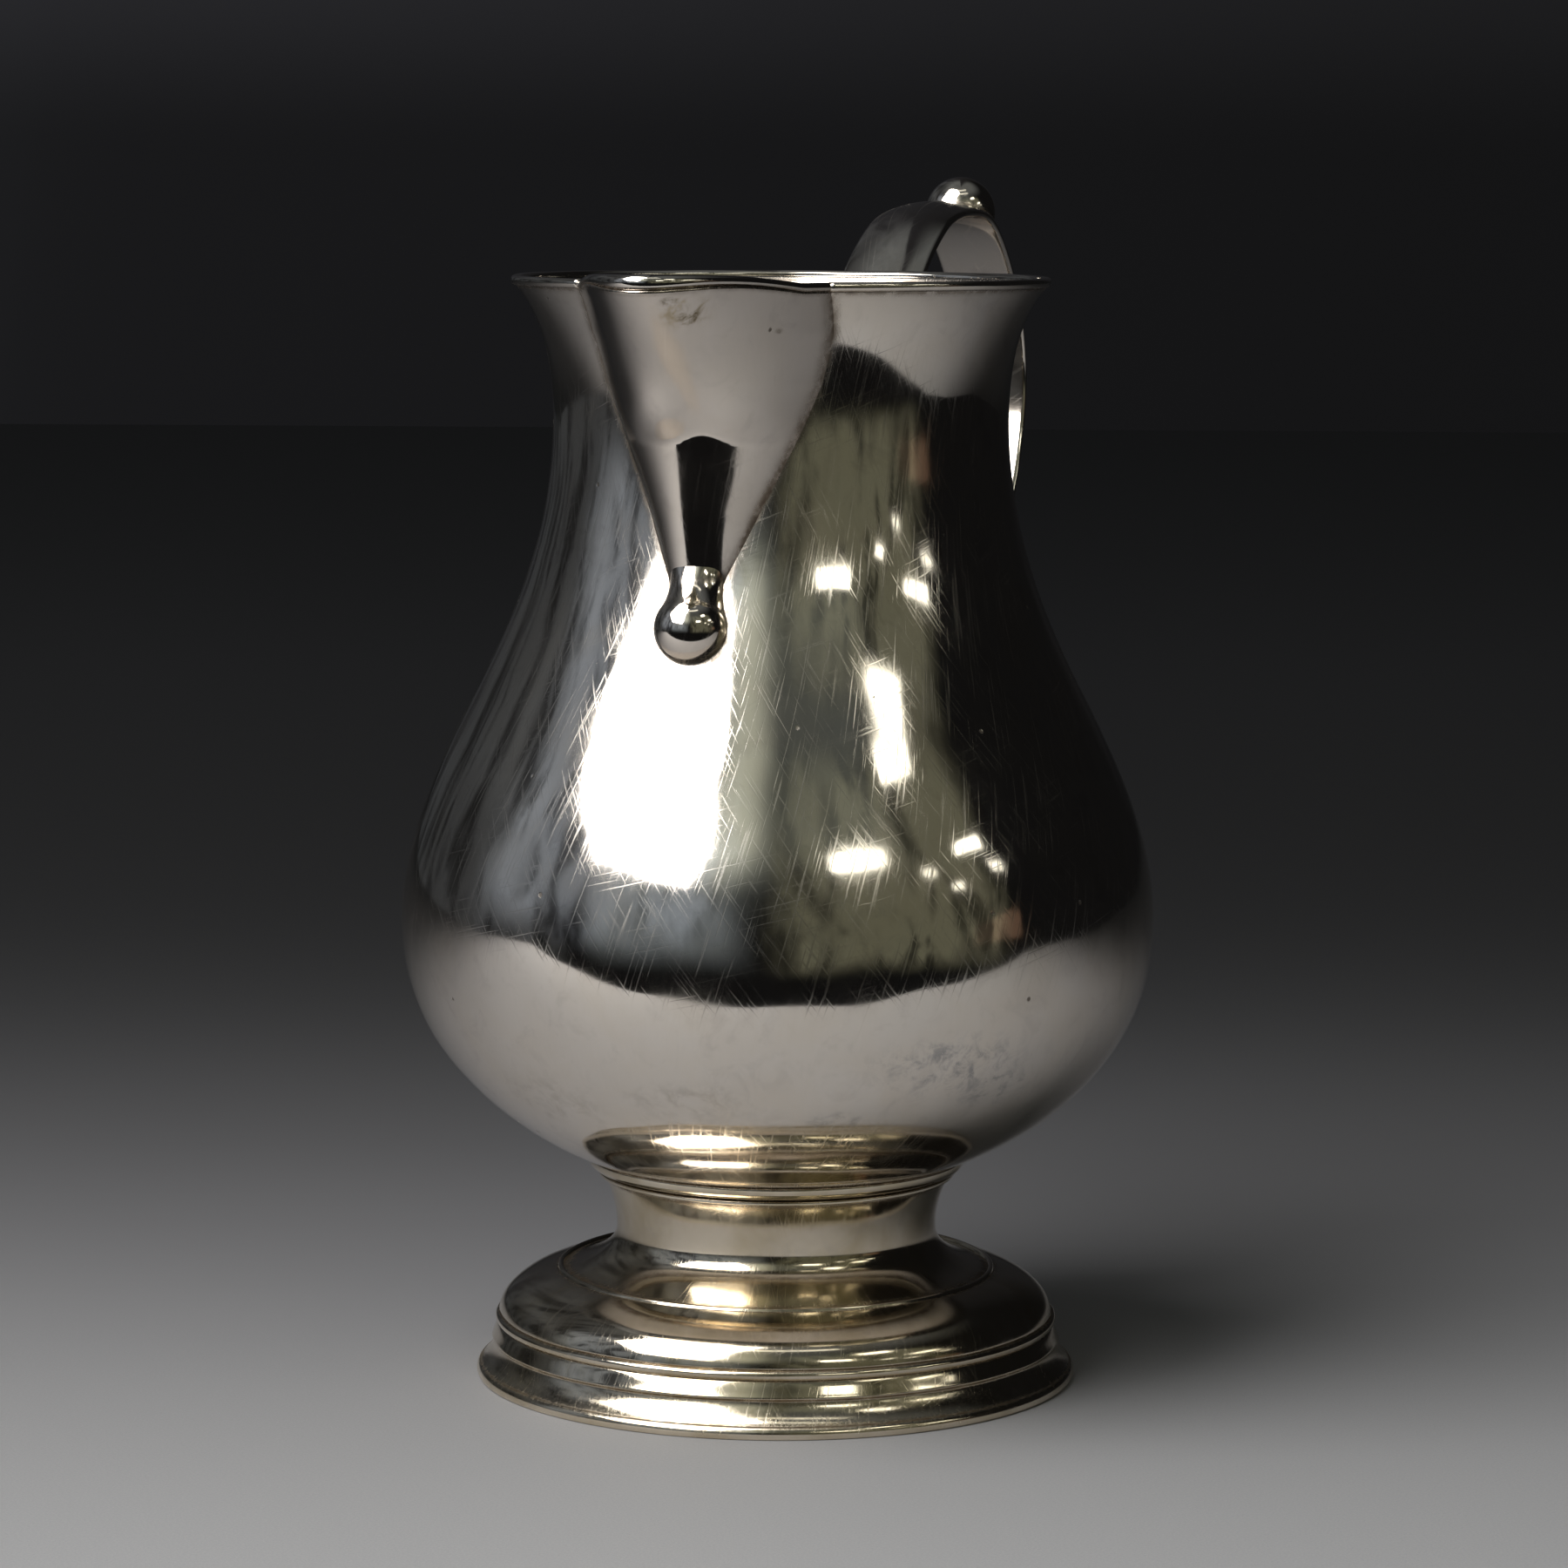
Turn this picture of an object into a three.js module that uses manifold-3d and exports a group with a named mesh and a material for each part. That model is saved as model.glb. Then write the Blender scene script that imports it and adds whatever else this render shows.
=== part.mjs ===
// Silver cream jug: pear-shaped raised body, flared neck, sparrow-beak spout with a bud below it,
// strap handle with a ball thumbpiece, and a domed, moulded pedestal foot.
// Millimetres, +Z up. The spout points along -Y and the handle along +Y.
import * as THREE from 'three';
import { mergeVertices } from 'three/addons/utils/BufferGeometryUtils.js';
import Module from 'manifold-3d';

const wasm = await Module();
wasm.setup();

// ---- driving dimensions -------------------------------------------------------------------
const SEGMENTS = 48;

// body: outer surface radii at its named heights
const RIM_Z = 90;
const RIM_R = 21.7;
const NECK_Z = 79;
const NECK_R = 18.4;
const BELLY_Z = 37.5;
const BELLY_R = 30.6;
const BOWL_BASE_Z = 18.35;
const BOWL_BASE_R = 15.9;
const BOWL_POLE_Z = 17;
const WALL = 0.7;

// rim wire, on top of the sheet edge
const RIM_WIRE_H = 0.7;
const RIM_WIRE_OUT = 0.2;

// foot, from the bowl downwards
const COLLAR_BOTTOM_Z = 16.5;
const COLLAR_INNER_R = 12.4;
const STEM_TOP_R = 14.2;
const STEM_WAIST_R = 13.1;
const STEM_WAIST_Z = 12.3;
const SKIRT_R = 17.45;
const SKIRT_Z = 8.8;
const BEAD_W = 0.5;
const DOME_R = 22.75;
const DOME_BOTTOM_Z = 5.15;
const REED_H = 0.8;
const REED_OUT = 0.35;
const FLARE_BOTTOM_Z = 1;
const FLARE_BOTTOM_R = 24.3;
const BASE_R = 24.65;
const BASE_INNER_R = 22.4;
const FOOT_WALL = 0.8;

// spout: keel line, half widths where it meets the neck, and the upturned lip
const KEEL_TOP_R = 35;
const KEEL_BOTTOM_R = 21.4;
const KEEL_SLOPE = 0.18;
const KEEL_FLARE_Z = 78.3;
const KEEL_FLARE = 0.5612;
const KEEL_FLARE_POWER = 1.15;
const BEAK_BOTTOM_Z = 67.2;
const BEAK_WALL = 0.7;
const LIP_WAVE = 0.5;
const LIP_HALF_HEIGHT = 0.35;
const LIP_HALF_WIDTH = 0.44;
const LIP_SWELL = 0.37;

// drop under the spout
const DROP_R = 2.9;
const DROP_NECK_R = 2.2;
const DROP_TOP = [19.3, 67.2];
const DROP_CENTRE = [21.5, 63.2];

// handle strap
const STRAP_TOP_W = 7.6;
const STRAP_END_W = 4.6;
const STRAP_EDGE = 0.55;
const STRAP_CROWN = 0.75;
const BALL_R = 3.1;
const BALL_AT = 0.322;
const BALL_SEAT = 0.5;
const BALL_LIFT = 1.4;
const BOSS_Z = 44.2;
const BOSS_R = 1.9;
const BOSS_REACH = 32.4;

// ---- materials ----------------------------------------------------------------------------
const silver = new THREE.MeshStandardMaterial({ color: 0xd8d4cc, roughness: 0.12, metalness: 1 });
const wornSilver = new THREE.MeshStandardMaterial({ color: 0xcfc8ba, roughness: 0.22, metalness: 1 });

// ---- solids -------------------------------------------------------------------------------
function signedVolume(position, index) {
  const a = new THREE.Vector3();
  const b = new THREE.Vector3();
  const c = new THREE.Vector3();
  let volume = 0;
  for (let i = 0; i < index.length; i += 3) {
    a.fromBufferAttribute(position, index[i]);
    b.fromBufferAttribute(position, index[i + 1]);
    c.fromBufferAttribute(position, index[i + 2]);
    volume += a.dot(b.cross(c)) / 6;
  }
  return volume;
}

function solidOf(geometry) {
  const bare = new THREE.BufferGeometry();
  bare.setAttribute('position', geometry.getAttribute('position'));
  bare.setIndex(geometry.getIndex());
  const merged = mergeVertices(bare, 1e-4);
  const position = merged.getAttribute('position');
  const all = merged.getIndex().array;
  const kept = [];
  for (let i = 0; i < all.length; i += 3) {
    const [a, b, c] = [all[i], all[i + 1], all[i + 2]];
    if (a !== b && b !== c && c !== a) kept.push(a, b, c);
  }
  if (signedVolume(position, kept) < 0) kept.reverse();
  const mesh = new wasm.Mesh({
    numProp: 3,
    vertProperties: Float32Array.from(position.array),
    triVerts: Uint32Array.from(kept),
  });
  return new wasm.Manifold(mesh);
}

function turned(profile) {
  const points = profile.map(([r, z]) => new THREE.Vector2(Math.max(r, 0), z));
  const geometry = new THREE.LatheGeometry(points, SEGMENTS);
  geometry.rotateX(Math.PI / 2);
  return solidOf(geometry);
}

function turnedRing(profile) {
  return turned([...profile, profile[0]]);
}

function lofted(rings) {
  const count = rings[0].length;
  const vertices = rings.flat();
  const triangles = [];
  for (let k = 0; k + 1 < rings.length; k += 1) {
    for (let i = 0; i < count; i += 1) {
      const j = (i + 1) % count;
      const [a, b, c, d] = [k * count + i, k * count + j, (k + 1) * count + j, (k + 1) * count + i];
      triangles.push(a, b, c, a, c, d);
    }
  }
  const ends = [[rings[0], 0, 1], [rings.at(-1), (rings.length - 1) * count, -1]];
  for (const [ring, start, side] of ends) {
    const middle = new THREE.Vector3();
    ring.forEach((p) => middle.add(p));
    vertices.push(middle.divideScalar(count));
    for (let i = 0; i < count; i += 1) {
      const pair = [start + i, start + ((i + 1) % count)];
      if (side > 0) pair.reverse();
      triangles.push(vertices.length - 1, ...pair);
    }
  }
  const geometry = new THREE.BufferGeometry().setFromPoints(vertices);
  geometry.setIndex(triangles);
  return solidOf(geometry);
}

function meshOf(name, solid, material) {
  const { vertProperties, triVerts } = solid.getMesh();
  const geometry = new THREE.BufferGeometry();
  geometry.setAttribute('position', new THREE.BufferAttribute(Float32Array.from(vertProperties), 3));
  geometry.setIndex(Array.from(triVerts));
  geometry.computeVertexNormals();
  const mesh = new THREE.Mesh(geometry, material);
  mesh.name = name;
  return mesh;
}

// ---- curves -------------------------------------------------------------------------------
function bezier(p0, p1, p2, p3, steps) {
  const curve = new THREE.CubicBezierCurve(...[p0, p1, p2, p3].map(([r, z]) => new THREE.Vector2(r, z)));
  return curve.getPoints(steps).map((p) => [p.x, p.y]);
}

function offsetInward(profile, thickness) {
  return profile.map(([r, z], i) => {
    const [r0, z0] = profile[Math.max(i - 1, 0)];
    const [r1, z1] = profile[Math.min(i + 1, profile.length - 1)];
    const length = Math.hypot(r1 - r0, z1 - z0);
    return [r - ((z1 - z0) / length) * thickness, z + ((r1 - r0) / length) * thickness];
  });
}

function interpolate(stations, at) {
  const above = stations.findIndex(([z]) => z > at);
  const k = above === -1 ? stations.length - 1 : Math.max(above, 1);
  const [[z0, v0], [z1, v1]] = [stations[k - 1], stations[k]];
  return v0 + ((v1 - v0) * (at - z0)) / (z1 - z0);
}

// outer surface of the body, from the pole under the bowl up to the sheet edge
const SHEET_TOP_Z = RIM_Z - RIM_WIRE_H;
const underside = [[0, BOWL_POLE_Z], [BOWL_BASE_R * 0.5, BOWL_POLE_Z + 0.3]];
const bowl = bezier([BOWL_BASE_R, BOWL_BASE_Z], [21.2, 20.4], [BELLY_R, 26.4], [BELLY_R, BELLY_Z], 9);
const shoulder = bezier([BELLY_R, BELLY_Z], [BELLY_R, 52.1], [NECK_R, 60.1], [NECK_R, NECK_Z], 10);
const neck = bezier([NECK_R, NECK_Z], [NECK_R, 84.6], [20.1, 87.6], [RIM_R - 0.25, SHEET_TOP_Z], 5);
const bodyOutline = [...underside, ...bowl, ...shoulder.slice(1), ...neck.slice(1)];

function bodyRadius(z) {
  return interpolate(bodyOutline.map(([r, h]) => [h, r]), z);
}

// ---- body and rim -------------------------------------------------------------------------
const rimOutline = [[RIM_R - 0.25, SHEET_TOP_Z], [RIM_R - 0.25, RIM_Z + 4]];
const bodySolid = turned([...bodyOutline, rimOutline[1], [0, RIM_Z + 4]]);
const innerOutline = offsetInward(bodyOutline, WALL);
innerOutline[0] = [0, BOWL_POLE_Z + WALL];
innerOutline[innerOutline.length - 1] = [RIM_R - 0.25 - WALL, SHEET_TOP_Z];
const bodyBlank = turned([...bodyOutline, ...innerOutline.reverse()]);

function roundedWire(inner, outer, bottom, top) {
  const middle = (bottom + top) / 2;
  const bulge = bezier([outer - 0.1, bottom], [outer + 0.1, bottom + 0.05], [outer + 0.1, top - 0.05],
    [outer - 0.1, top], 4);
  return [[inner, bottom], ...bulge, [inner + 0.1, top], [inner, middle]];
}

const rimBlank = turnedRing(roundedWire(RIM_R - 0.25 - WALL, RIM_R + RIM_WIRE_OUT - 0.1, SHEET_TOP_Z, RIM_Z));

// ---- spout --------------------------------------------------------------------------------
// half width of the beak where it meets the neck, against height
const JOINT_WIDTHS = [[64, 1.9], [67.2, 2.7], [72, 4.7], [78.3, 7.6], [82, 9.1], [86, 10.2], [92, 10.9]];

// the keel stands nearly upright above the drop, then flares out towards the lip
function keelRadius(z) {
  const flare = KEEL_FLARE * Math.max(z - KEEL_FLARE_Z, 0) ** KEEL_FLARE_POWER;
  return KEEL_BOTTOM_R + (z - BEAK_BOTTOM_Z) * KEEL_SLOPE + flare;
}

// the beak is nearly a round arch low down and a blunt point at the lip
function beakSharpness(z) {
  return 0.68 + 0.1 * Math.max(z - 78, 0);
}

function beakSection(z, wall, steps) {
  const half = interpolate(JOINT_WIDTHS, z) - wall * 1.15;
  const tip = keelRadius(z) - wall * 1.7;
  const joint = Math.sqrt(Math.max(bodyRadius(Math.min(z, SHEET_TOP_Z)) ** 2 - half ** 2, 1)) - 0.4;
  const sharpness = beakSharpness(z);
  const corner = tip + (tip - joint) / sharpness;
  const points = [];
  for (let i = 0; i <= steps; i += 1) {
    const t = i / steps;
    const [a, b, c] = [(1 - t) ** 2, 2 * t * (1 - t) * sharpness, t ** 2];
    const reach = (a * joint + b * corner + c * joint) / (a + b + c);
    const side = (a * half - c * half) / (a + b + c);
    points.push(new THREE.Vector3(side, -reach, z));
  }
  points.push(new THREE.Vector3(-half * 0.9, -joint + 3.5, z));
  points.push(new THREE.Vector3(half * 0.9, -joint + 3.5, z));
  return points;
}

function beakLoft(from, to, wall) {
  const levels = 14;
  const rings = [];
  for (let k = 0; k <= levels; k += 1) rings.push(beakSection(from + ((to - from) * k) / levels, wall, 14));
  return lofted(rings);
}

// 0 at the round rim, 1 at the tip of the beak
function alongLip(reach) {
  return Math.min(Math.max(reach - RIM_R, 0) / (KEEL_TOP_R - RIM_R), 1);
}

// the lip rises along each cheek and droops again at the tip
function lipHeight(reach) {
  const along = alongLip(reach);
  return SHEET_TOP_Z + 0.1 * along + LIP_WAVE * Math.sin(Math.PI * along);
}

function aboveLip() {
  const edge = [];
  for (let i = 0; i <= 18; i += 1) {
    const reach = RIM_R - 6 + (i / 18) * 28;
    edge.push([reach, lipHeight(reach)]);
  }
  const outline = [...edge, [RIM_R + 22, RIM_Z + 8], [RIM_R - 6, RIM_Z + 8]];
  return lofted([-20, 20].map((x) => outline.map(([reach, z]) => new THREE.Vector3(x, -reach, z))));
}

const beakOuter = beakLoft(BEAK_BOTTOM_Z, RIM_Z + 2.5, 0);
const beakInner = beakLoft(BEAK_BOTTOM_Z + 1.8, RIM_Z + 3, BEAK_WALL);
const mouthCut = aboveLip();
const spoutBeak = beakOuter.subtract(beakInner).subtract(bodySolid).subtract(mouthCut);
const bodyShell = bodyBlank.subtract(beakInner);
const rimWire = rimBlank.subtract(beakOuter);

function lipWire() {
  const steps = 20;
  const outer = beakSection(SHEET_TOP_Z, BEAK_WALL * 0.45, steps).slice(0, steps + 1);
  const rings = outer.map((point, i) => {
    const before = outer[Math.max(i - 1, 0)];
    const after = outer[Math.min(i + 1, steps)];
    const along = after.clone().sub(before).setZ(0).normalize();
    const across = new THREE.Vector3(along.y, -along.x, 0);
    const swell = LIP_SWELL * alongLip(-point.y) ** 3;
    const base = lipHeight(-point.y);
    const ring = [];
    for (let k = 0; k < 8; k += 1) {
      const turn = (Math.PI * 2 * k) / 8;
      const lift = (LIP_HALF_HEIGHT + swell) * (1 + Math.sin(turn));
      ring.push(point.clone().setZ(base + lift).addScaledVector(across, (LIP_HALF_WIDTH + swell) * Math.cos(turn)));
    }
    return ring;
  });
  return lofted(rings).subtract(bodySolid).subtract(rimWire).subtract(spoutBeak);
}

function spoutDrop() {
  const [topR, topZ] = DROP_TOP;
  const [centreR, centreZ] = DROP_CENTRE;
  const length = Math.hypot(centreR - topR, centreZ - topZ);
  const waist = bezier([DROP_NECK_R + 0.5, length + 1.5], [DROP_NECK_R - 0.1, length - 0.8],
    [DROP_NECK_R, DROP_R * 0.9], [DROP_R * 0.93, DROP_R * 0.38], 6);
  const cap = [];
  for (let i = 1; i <= 6; i += 1) {
    const turn = 0.39 - (i / 6) * (0.39 + Math.PI / 2);
    cap.push([DROP_R * Math.cos(turn), DROP_R * Math.sin(turn)]);
  }
  const profile = [[0, length + 1.5], ...waist, ...cap];
  const points = profile.map(([r, h]) => new THREE.Vector2(Math.max(r, 0), h));
  const geometry = new THREE.LatheGeometry(points, 18);
  geometry.rotateX(Math.PI / 2);
  geometry.rotateX(-Math.atan2(centreR - topR, topZ - centreZ));
  geometry.translate(0, -centreR, centreZ);
  const below = turned([[0, 50], [45, 50], [45, BEAK_BOTTOM_Z], [0, BEAK_BOTTOM_Z]]);
  return solidOf(geometry).intersect(below).subtract(bodySolid);
}

// ---- foot ---------------------------------------------------------------------------------
function footCollar() {
  const ovolo = bezier([14.45, 17.05], [15.3, 17.15], [15.5, 17.6], [15.45, 18.1], 3);
  const fillet = [[STEM_TOP_R, COLLAR_BOTTOM_Z], [14.6, 16.65], [14.6, 16.9], [14.3, 17]];
  const top = [[15.2, 18.25], [15.2, 19.5], [COLLAR_INNER_R, 19.5]];
  return turnedRing([[COLLAR_INNER_R, COLLAR_BOTTOM_Z], ...fillet, ...ovolo, ...top]).subtract(bodySolid);
}

function footStem() {
  const scotia = bezier([STEM_TOP_R, COLLAR_BOTTOM_Z], [13.6, 15.4], [STEM_WAIST_R, 13.9],
    [STEM_WAIST_R, STEM_WAIST_Z], 4);
  const skirt = bezier([STEM_WAIST_R, STEM_WAIST_Z], [STEM_WAIST_R, 10.6], [14.9, 9.5], [SKIRT_R, SKIRT_Z], 4);
  const outer = [...scotia, ...skirt.slice(1)];
  const inner = offsetInward(outer, -FOOT_WALL);
  inner[0] = [STEM_TOP_R - FOOT_WALL, COLLAR_BOTTOM_Z];
  inner[inner.length - 1] = [SKIRT_R, SKIRT_Z - FOOT_WALL];
  return turnedRing([...outer, ...inner.reverse()]);
}

function footBead() {
  const top = SKIRT_Z + 0.22;
  return turnedRing([[SKIRT_R, SKIRT_Z - FOOT_WALL], [SKIRT_R, SKIRT_Z], [SKIRT_R + 0.1, top],
    [SKIRT_R + BEAD_W - 0.1, top], [SKIRT_R + BEAD_W, SKIRT_Z], [SKIRT_R + BEAD_W, SKIRT_Z - FOOT_WALL]]);
}

function footDome() {
  const start = SKIRT_R + BEAD_W;
  const outer = bezier([start, SKIRT_Z], [20.3, 8.15], [22.5, 7.2], [DOME_R, DOME_BOTTOM_Z], 6);
  const inner = bezier([start, SKIRT_Z - FOOT_WALL], [20, 7.35], [21.7, 6.6],
    [DOME_R - FOOT_WALL, DOME_BOTTOM_Z], 4);
  return turnedRing([...outer, ...inner.reverse()]);
}

function footReed() {
  const bottom = DOME_BOTTOM_Z - REED_H;
  const bulge = bezier([DOME_R, bottom], [DOME_R + REED_OUT * 1.3, bottom + 0.1],
    [DOME_R + REED_OUT * 1.3, DOME_BOTTOM_Z - 0.1], [DOME_R, DOME_BOTTOM_Z], 4);
  return turnedRing([[DOME_R - FOOT_WALL, bottom], ...bulge, [DOME_R - FOOT_WALL, DOME_BOTTOM_Z]]);
}

function footFlare() {
  const top = DOME_BOTTOM_Z - REED_H;
  const face = bezier([DOME_R, top], [23.3, top - 0.1], [23.35, 3.5], [23.3, 3], 3);
  const cove = bezier([23.3, 2.8], [23.35, 2.1], [23.8, 1.4], [FLARE_BOTTOM_R, FLARE_BOTTOM_Z], 4);
  return turnedRing([...face, ...cove, [BASE_INNER_R, FLARE_BOTTOM_Z], [BASE_INNER_R, 2.6],
    [DOME_R - FOOT_WALL, 3.4], [DOME_R - FOOT_WALL, top]]);
}

function footRim() {
  const edge = bezier([BASE_R - 0.15, 0], [BASE_R + 0.05, 0.2], [BASE_R + 0.05, 0.8],
    [FLARE_BOTTOM_R, FLARE_BOTTOM_Z], 4);
  return turnedRing([[BASE_INNER_R, 0], ...edge, [BASE_INNER_R, FLARE_BOTTOM_Z]]);
}

// ---- handle -------------------------------------------------------------------------------
// centre line of the strap in its own plane: reach from the axis, height
const STRAP_PATH = [[17, 79.4], [21.4, 84], [25.6, 87.5], [30.2, 90.9], [36, 93.6], [42.7, 94.4],
  [49.4, 93.6], [55.3, 89.7], [59.8, 84.2], [61.2, 78.8], [59.9, 72.5], [55.9, 65.6], [50, 59],
  [43.2, 53.4], [36.8, 49.2], [32.6, 45.8], [31.7, 42], [33.4, 38.8], [36.3, 38], [38.2, 39.7], [37.7, 41.7]];

function strapSection(centre, outward, width, crown) {
  const ring = [];
  for (let i = 0; i <= 6; i += 1) {
    const across = i / 3 - 1;
    const lift = STRAP_EDGE + crown * (1 - across ** 2);
    ring.push(centre.clone().addScaledVector(outward, lift).setX((across * width) / 2));
  }
  ring.push(centre.clone().setX(width / 2), centre.clone().setX(-width / 2));
  return ring;
}

const strapCurve = new THREE.CatmullRomCurve3(
  STRAP_PATH.map(([reach, z]) => new THREE.Vector3(0, reach, z)), false, 'centripetal');

function strapFrame(t) {
  const along = strapCurve.getTangentAt(t);
  return { centre: strapCurve.getPointAt(t), outward: new THREE.Vector3(0, -along.z, along.y) };
}

function handleStrap() {
  const steps = 46;
  const rings = [];
  for (let k = 0; k <= steps; k += 1) {
    const t = k / steps;
    const { centre, outward } = strapFrame(t);
    const width = STRAP_TOP_W + (STRAP_END_W - STRAP_TOP_W) * t ** 1.2;
    rings.push(strapSection(centre, outward, width, STRAP_CROWN));
  }
  return lofted(rings).subtract(bodySolid);
}

// a bead soldered to the top of the strap, a little more than half of it standing clear
function thumbBall(strap) {
  const { centre, outward } = strapFrame(BALL_AT);
  const seat = centre.clone().addScaledVector(outward, BALL_SEAT);
  const bead = new THREE.SphereGeometry(BALL_R, 20, 10);
  bead.translate(...centre.clone().addScaledVector(outward, BALL_LIFT));
  const block = new THREE.BoxGeometry(12, 12, 12);
  block.translate(0, 0, 6);
  block.rotateX(Math.atan2(-outward.y, outward.z));
  block.translate(...seat);
  return solidOf(bead).intersect(solidOf(block)).subtract(strap);
}

function lowerBoss(strap) {
  const geometry = new THREE.CylinderGeometry(BOSS_R, BOSS_R, 6, 16);
  geometry.translate(0, bodyRadius(BOSS_Z) + 0.8, BOSS_Z);
  const reach = turned([[0, BOSS_Z - 5], [BOSS_REACH, BOSS_Z - 5], [BOSS_REACH, BOSS_Z + 5], [0, BOSS_Z + 5]]);
  return solidOf(geometry).intersect(reach).subtract(bodySolid).subtract(strap);
}

// ---- assembly -----------------------------------------------------------------------------
const strap = handleStrap();
const pieces = [
  ['body_shell', bodyShell, silver],
  ['rim_wire', rimWire, silver],
  ['spout_beak', spoutBeak, silver],
  ['spout_lip_wire', lipWire(), silver],
  ['spout_drop', spoutDrop(), silver],
  ['foot_collar', footCollar(), wornSilver],
  ['foot_stem', footStem(), wornSilver],
  ['foot_bead_wire', footBead(), wornSilver],
  ['foot_dome', footDome(), wornSilver],
  ['foot_step_reed', footReed(), wornSilver],
  ['foot_flare', footFlare(), wornSilver],
  ['foot_rim_wire', footRim(), wornSilver],
  ['handle_strap', strap, silver],
  ['handle_lower_boss', lowerBoss(strap), silver],
  ['thumb_ball', thumbBall(strap), silver],
];

const jug = new THREE.Group();
jug.name = 'cream_jug';
for (const [name, solid, material] of pieces) jug.add(meshOf(name, solid, material));

// the origin is the middle of the whole jug's footprint, so the body's axis stands a little forward of it
const bounds = new THREE.Box3().setFromObject(jug);
const middle = bounds.getCenter(new THREE.Vector3());
for (const mesh of jug.children) mesh.geometry.translate(-middle.x, -middle.y, -bounds.min.z);

export default jug;
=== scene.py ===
"""Looks for the silver cream jug: smooth meshes, hand-worked silver, a pale table and soft studio light."""

import math

import bpy
import numpy as np
from mathutils import Matrix, Vector


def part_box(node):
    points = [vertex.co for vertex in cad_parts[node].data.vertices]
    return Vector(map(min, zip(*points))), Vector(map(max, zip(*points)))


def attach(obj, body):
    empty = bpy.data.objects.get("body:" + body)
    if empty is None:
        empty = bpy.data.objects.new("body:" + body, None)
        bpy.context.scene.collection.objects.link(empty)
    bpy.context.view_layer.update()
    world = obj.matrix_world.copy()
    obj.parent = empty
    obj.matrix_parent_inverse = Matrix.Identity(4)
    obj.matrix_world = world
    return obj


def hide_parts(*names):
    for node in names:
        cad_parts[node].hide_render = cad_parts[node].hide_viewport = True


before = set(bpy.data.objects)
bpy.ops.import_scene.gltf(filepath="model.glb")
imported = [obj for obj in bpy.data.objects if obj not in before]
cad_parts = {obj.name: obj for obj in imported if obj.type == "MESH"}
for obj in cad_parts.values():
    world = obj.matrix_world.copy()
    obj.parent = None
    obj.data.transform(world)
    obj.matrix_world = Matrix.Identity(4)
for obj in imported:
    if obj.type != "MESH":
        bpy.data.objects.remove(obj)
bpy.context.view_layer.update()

MM = 0.001
TAU = 2 * math.pi

# the axis of the body is the middle of the foot; the spout points along -Y from it and the handle along +Y
_low, _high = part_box("foot_rim_wire")
AXIS = np.array([(_low.x + _high.x) / 2, (_low.y + _high.y) / 2, 0.0]) / MM
RIM_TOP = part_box("rim_wire")[1].z / MM
SHEET_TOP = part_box("rim_wire")[0].z / MM

VIEW_AZIMUTH = math.radians(18.5)
TO_CAMERA = Vector((math.sin(VIEW_AZIMUTH), -math.cos(VIEW_AZIMUTH), 0))
TO_RIGHT = Vector((math.cos(VIEW_AZIMUTH), math.sin(VIEW_AZIMUTH), 0))


# ---- mesh making ---------------------------------------------------------------------------
def make_piece(name, points, faces, masks=None, centred=True):
    """A smooth mesh from millimetre points; centred points are measured from the body's axis."""
    points = np.asarray(points, float) + (AXIS if centred else 0)
    mesh = bpy.data.meshes.new(name)
    mesh.from_pydata((points * MM).tolist(), [], [list(map(int, f)) for f in faces])
    mesh.validate()
    for mask, values in (masks or {}).items():
        layer = mesh.attributes.new(mask, "FLOAT", "POINT")
        layer.data.foreach_set("value", np.clip(values, 0, 1).astype(np.float32))
    piece = bpy.data.objects.new(name, mesh)
    bpy.context.scene.collection.objects.link(piece)
    for polygon in mesh.polygons:
        polygon.use_smooth = True
    turn_outward(mesh)
    return piece


def turn_outward(mesh):
    """Faces of a closed mesh are wound so that its volume is positive."""
    count = len(mesh.vertices)
    co = np.empty(count * 3)
    mesh.vertices.foreach_get("co", co)
    co = co.reshape(-1, 3)
    mesh.calc_loop_triangles()
    tri = np.empty(len(mesh.loop_triangles) * 3, int)
    mesh.loop_triangles.foreach_get("vertices", tri)
    a, b, c = (co[tri.reshape(-1, 3)[:, i]] for i in range(3))
    if np.einsum("ij,ij->i", a, np.cross(b, c)).sum() < 0:
        mesh.flip_normals()


def grid_faces(rows, columns, wrap_rows=False, wrap_columns=False):
    """Four-sided faces between neighbouring rows and columns of points."""
    faces = []
    for k in range(rows if wrap_rows else rows - 1):
        low, high = k * columns, (k + 1) % rows * columns
        for j in range(columns if wrap_columns else columns - 1):
            j1 = (j + 1) % columns
            faces.append((low + j, low + j1, high + j1, high + j))
    return faces


def bezier(p0, p1, p2, p3, steps):
    """Points along a cubic curve, both ends included."""
    t = np.linspace(0, 1, steps + 1)[:, None]
    p0, p1, p2, p3 = map(np.array, (p0, p1, p2, p3))
    return ((1 - t) ** 3 * p0 + 3 * t * (1 - t) ** 2 * p1 + 3 * t**2 * (1 - t) * p2 + t**3 * p3).tolist()


def resampled(points, spacing, closed):
    """Even points along a line of points."""
    p = np.array(points + [points[0]] if closed else points, float)
    length = np.concatenate([[0], np.cumsum(np.hypot(*np.diff(p, axis=0).T))])
    count = max(8, int(round(length[-1] / spacing)))
    at = np.linspace(0, length[-1], count + (0 if closed else 1), endpoint=not closed)
    return np.stack([np.interp(at, length, p[:, i]) for i in (0, 1)], 1)


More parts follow.
